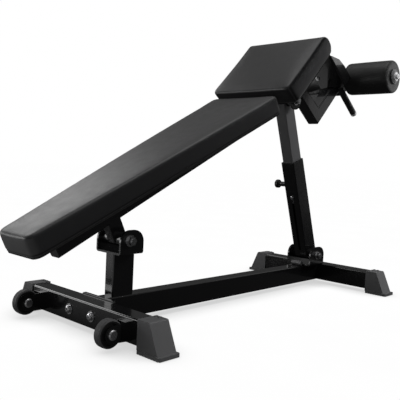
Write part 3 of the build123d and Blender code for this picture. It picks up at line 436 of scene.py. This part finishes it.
def seat_seam(points, normals):
    """A line round the sides, low on the pad."""
    line_height = 0.1345
    on_side = np.abs(normals[:, 2]) < 0.7
    return seam_profile(points[:, 2] - line_height) * on_side


def thigh_seam(points, normals):
    """A line just in from each side, all along the pad above its lower edge."""
    half_width, inset, lowest = 0.180, 0.0045, 0.103
    from_side = half_width - np.abs(points[:, 1])
    return seam_profile(from_side - inset) * (points[:, 2] > lowest)


def sew(cover, frame, seam_line, seam_shade):
    """Presses the seam into the cover, marks the groove's painted shade for the vinyl and sets the cover in
    place.
    """
    points = coords(cover)
    normals = vertex_vectors(cover.data.vertices, "normal")
    seam = seam_line(points, normals)
    set_coords(cover, to_world(points - normals * (seam * SEAM_DEPTH)[:, None], frame))
    # the seam attribute carries the painted shade of the seam groove, scaled by its strength
    attribute = cover.data.attributes.new("seam", "FLOAT", "POINT")
    attribute.data.foreach_set("value", (seam * seam_shade).astype(np.float32))


seat_cover = upholster("seat_pad_cover", "seat_pad_cushion", SEAT, bottom=0.1275, top=0.190)
sew(seat_cover, SEAT, seat_seam, seam_shade=0.7)
thigh_cover = upholster("thigh_pad_cover", "thigh_pad_cushion", THIGH, bottom=0.0945, top=0.1723)
sew(thigh_cover, THIGH, thigh_seam, seam_shade=1.0)


# ------------------------------------------------------------------ rollers
ROLLER_CENTRE = JOINTS["roller_near_spin"]["pos_m"]
BORE_RADIUS = 0.0171
CROWN = 0.0004             # bulge of the sleeve at mid length
CROWN_STEPS = 20


def lathe_y(name, centre, rings, segments=96):
    """Closed ring of revolution about Y through centre: rings is a closed list of (y, radius)."""
    points, faces = [], []
    count = len(rings)
    for k in range(segments):
        turn = 2 * math.pi * k / segments
        for y, radius in rings:
            points.append((centre[0] + radius * math.cos(turn), y,
                           centre[2] + radius * math.sin(turn)))
    for k in range(segments):
        here, there = k * count, (k + 1) % segments * count
        for i in range(count):
            j = (i + 1) % count
            faces.append((here + i, here + j, there + j, there + i))
    return new_mesh(name, points, faces)


def roller_sleeve(side, sign):
    """Foam sleeve with rounded ends and dished end faces; sign is the side's direction in Y."""
    node = "roller_foam_" + side
    low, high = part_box(node)
    inner_y = low.y if sign > 0 else high.y
    outer_radius, span = (high.z - low.z) / 2, high.y - low.y
    barrel = outer_radius - CROWN
    # (distance from the end, radius), from the bore out to the barrel
    end = [
        (0.001, BORE_RADIUS),
        (0.001, 0.030),
        (0.0, 0.045),
        (0.0008, outer_radius - 0.008),
        (0.0035, outer_radius - 0.002),
        (0.008, barrel),
    ]
    margin = end[-1][0]
    profile = list(end)
    for k in range(1, CROWN_STEPS):
        along = margin + (span - 2 * margin) * k / CROWN_STEPS
        profile.append((along, barrel + CROWN * math.sin(math.pi * k / CROWN_STEPS)))
    profile += [(span - along, radius) for along, radius in reversed(end)]
    rings = [(inner_y + sign * along, radius) for along, radius in profile]
    if sign > 0:
        rings.reverse()    # keeps the faces turned the same way on both sides
    sleeve = lathe_y("roller_sleeve_" + side, ROLLER_CENTRE, rings)
    subdivide(sleeve)
    finish_piece(sleeve, "foam", "roller_" + side, node)


roller_sleeve("near", -1)
roller_sleeve("far", 1)


# ------------------------------------------------------------------ floor and world
FLOOR_HALF, FLOOR_Z = 30.0, -0.0005


def floor_material():
    """White with a soft contact shade for the camera, dim grey for every other ray."""
    shader = ShaderTree(bpy.data.materials.new("floor_pale"))
    occlusion = shader.add("ShaderNodeAmbientOcclusion", {"Distance": 0.10}, samples=12)
    contact = shader.spread(occlusion.outputs["AO"], low=0.62, high=1.0, start=0.25, end=0.95)
    fleck = shader.varied(scale=3.0, detail=2, low=0.99, high=1.0)
    shade = shader.math("MULTIPLY", contact, fleck)
    white = shader.add("ShaderNodeEmission", {"Color": shader.mix(shade, grey(0), grey(1))})
    # brighter beyond the -X end of the bench
    beyond = shader.spread(shader.separate()["X"], low=1.0, high=0.0, start=-1.15, end=-0.66)
    dim = shader.add("ShaderNodeEmission", {"Color": shader.mix(beyond, grey(0.025), grey(0.34))})
    return shader.camera_split(camera=white, others=dim)


def build_floor():
    corners = [(x * FLOOR_HALF, y * FLOOR_HALF, FLOOR_Z)
               for x, y in ((-1, -1), (1, -1), (1, 1), (-1, 1))]
    material = floor_material()
    floor = new_mesh("floor", corners, [(0, 1, 2, 3)])
    set_material(floor, material)


def build_world():
    """White for the camera, a studio growing brighter with height for everything else."""
    world = bpy.data.worlds.new("studio")
    scene.world = world
    shader = ShaderTree(world, output="ShaderNodeOutputWorld", coordinates="Generated")
    height = shader.spread(shader.separate()["Z"], low=0.0, high=1.0, start=-0.2, end=1.0)
    gradient = shader.add("ShaderNodeValToRGB", {0: height})
    stops = gradient.color_ramp.elements
    stops[0].position, stops[0].color = 0.0, (*grey(0.020), 1)
    stops[1].position, stops[1].color = 1.0, (*grey(0.30), 1)
    stops.new(0.35).color = (*grey(0.05), 1)
    studio = shader.add("ShaderNodeBackground", {"Color": gradient.outputs[0], "Strength": 1.0})
    white = shader.add("ShaderNodeBackground", {"Color": grey(1), "Strength": 1.0})
    shader.camera_split(camera=white, others=studio)


build_floor()
build_world()


# ------------------------------------------------------------------ lights
def area(name, location, target, power, size, size_y=None, glossy=True, only_on=()):
    """Rectangular light aimed at target; only_on names the sole pieces it falls on."""
    data = bpy.data.lights.new(name, "AREA")
    data.energy = power
    data.shape = "RECTANGLE"
    data.size = size
    data.size_y = size_y or size
    light = bpy.data.objects.new(name, data)
    scene.collection.objects.link(light)
    light.location = location
    aim = Vector(target) - Vector(location)
    light.rotation_euler = aim.to_track_quat("-Z", "Y").to_euler()
    light.visible_glossy = glossy
    if only_on:
        receivers = bpy.data.collections.new(name + "_targets")
        for piece in only_on:
            receivers.objects.link(NODES[piece] if piece in NODES else bpy.data.objects[piece])
        light.light_linking.receiver_collection = receivers


def area_around(name, target, azimuth, elevation, distance, **settings):
    """Area light placed by angles in degrees about its target, azimuth from +X towards +Y."""
    turn, rise = math.radians(azimuth), math.radians(elevation)
    location = (target[0] + distance * math.cos(rise) * math.cos(turn),
                target[1] + distance * math.cos(rise) * math.sin(turn),
                target[2] + distance * math.sin(rise))
    area(name, location, target, **settings)


area_around("key_far", target=(-0.3, 0, 0.4), azimuth=91, elevation=34, distance=3.6,
            power=26, size=2.2, size_y=1.8)
area("top", location=(0.1, -0.2, 3.4), target=(0.0, 0.0, 0.5), power=22, size=2.6)
area_around("side_right", target=(0.5, 0, 0.45), azimuth=-15, elevation=18, distance=3.2,
            power=6.0, size=2.2, size_y=3.0)
area("near_fill", location=(1.3, -1.5, 1.7), target=(0.60, -0.2, 0.90),
     power=46, size=0.9, glossy=False)
area("foot_fill", location=(-1.9, -1.5, 0.35), target=(-0.62, -0.25, 0.05),
     power=9, size=0.5, glossy=False)
# cards for the near end of the rollers and for the web of their bracket
area("end_card", location=(2.67, -1.08, 1.00), target=(0.80, -0.15, 0.85), power=3.0, size=1.1,
     only_on=("roller_bracket", "roller_end_bolts", "roller_end_caps", "roller_sleeve_near",
              "handle_rod", "handle_grip"))
area("web_card", location=(0.95, 0.50, 0.08), target=(0.68, 0.0, 0.80), power=0.55, size=0.8,
     only_on=("roller_bracket", "roller_bracket_bolt", "handle_rod"))
area_around("front_left", target=(-0.4, 0, 0.4), azimuth=130, elevation=6, distance=3.2,
            power=24, size=2.2, size_y=1.4) if False else area(
    "front_left",
    location=(-0.4 + 3.2 * math.cos(math.radians(6)) * math.cos(math.radians(130)),
              3.2 * math.cos(math.radians(6)) * math.sin(math.radians(130)),
              0.3 + 3.2 * math.sin(math.radians(6))),
    target=(-0.4, 0, 0.4), power=24, size=2.2, size_y=1.4)


# ------------------------------------------------------------------ camera
CAMERA_PLACE = (-1.611305, -1.364458, 0.495724)
SENSOR_WIDTH, LENS = 36.0, 52.524                   # millimetres
YAW, PITCH_DOWN, ROLL = 43.2295, 3.6732, 2.8435     # degrees, yaw from +X towards +Y


def build_camera():
    data = bpy.data.cameras.new("camera")
    camera = bpy.data.objects.new("camera", data)
    scene.collection.objects.link(camera)
    data.sensor_width = SENSOR_WIDTH
    data.lens = LENS
    data.clip_end = 200
    yaw, pitch, roll = (math.radians(angle) for angle in (YAW, PITCH_DOWN, ROLL))
    forward = Vector((math.cos(yaw) * math.cos(pitch), math.sin(yaw) * math.cos(pitch),
                      -math.sin(pitch)))
    right = Vector((math.sin(yaw), -math.cos(yaw), 0))
    up = right.cross(forward)
    rolled_right = math.cos(roll) * right + math.sin(roll) * up
    rolled_up = -math.sin(roll) * right + math.cos(roll) * up
    rotation = Matrix((rolled_right, rolled_up, -forward)).transposed()
    camera.matrix_world = Matrix.Translation(CAMERA_PLACE) @ rotation.to_4x4()
    scene.camera = camera


build_camera()
scene.view_settings.view_transform = "Standard"
scene.view_settings.look = "None"
scene.view_settings.exposure = 0
scene.view_settings.gamma = 1

bpy.context.view_layer.update()
